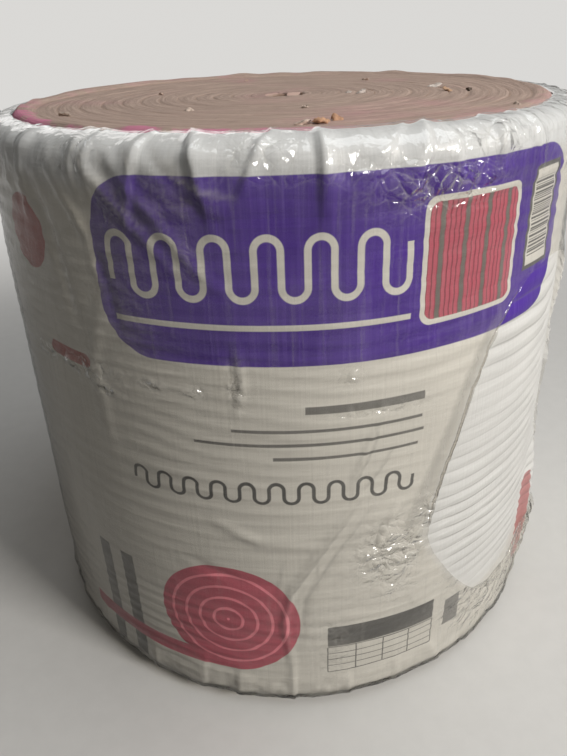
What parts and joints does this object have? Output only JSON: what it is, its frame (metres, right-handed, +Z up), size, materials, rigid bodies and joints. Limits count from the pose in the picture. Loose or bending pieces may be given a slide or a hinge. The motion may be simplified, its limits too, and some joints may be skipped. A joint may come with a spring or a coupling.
{
  "type": "insulation roll",
  "caption": "Roll of faced fibreglass wall insulation standing on its end, in a white and purple plastic wrap under clear film, with its wound turns showing on both ends.",
  "frame": {"origin": "centre of the roll's foot, on the floor it stands on", "axes": "+Z up along the roll's axis; the printed front faces -Y"},
  "size_m": [0.4132, 0.4132, 0.381],
  "materials": {
    "fiberglass": "matte, dusty wound glass wool with brown paper facing edges",
    "printed_wrap": "white polyethylene wrap with a plain purple band",
    "clear_film": "clear stretch film, creased and a little cloudy"
  },
  "bodies": {
    "root": {"fiberglass_roll": "fiberglass", "printed_wrap": "printed_wrap", "clear_film": "clear_film"}
  },
  "joints": []
}
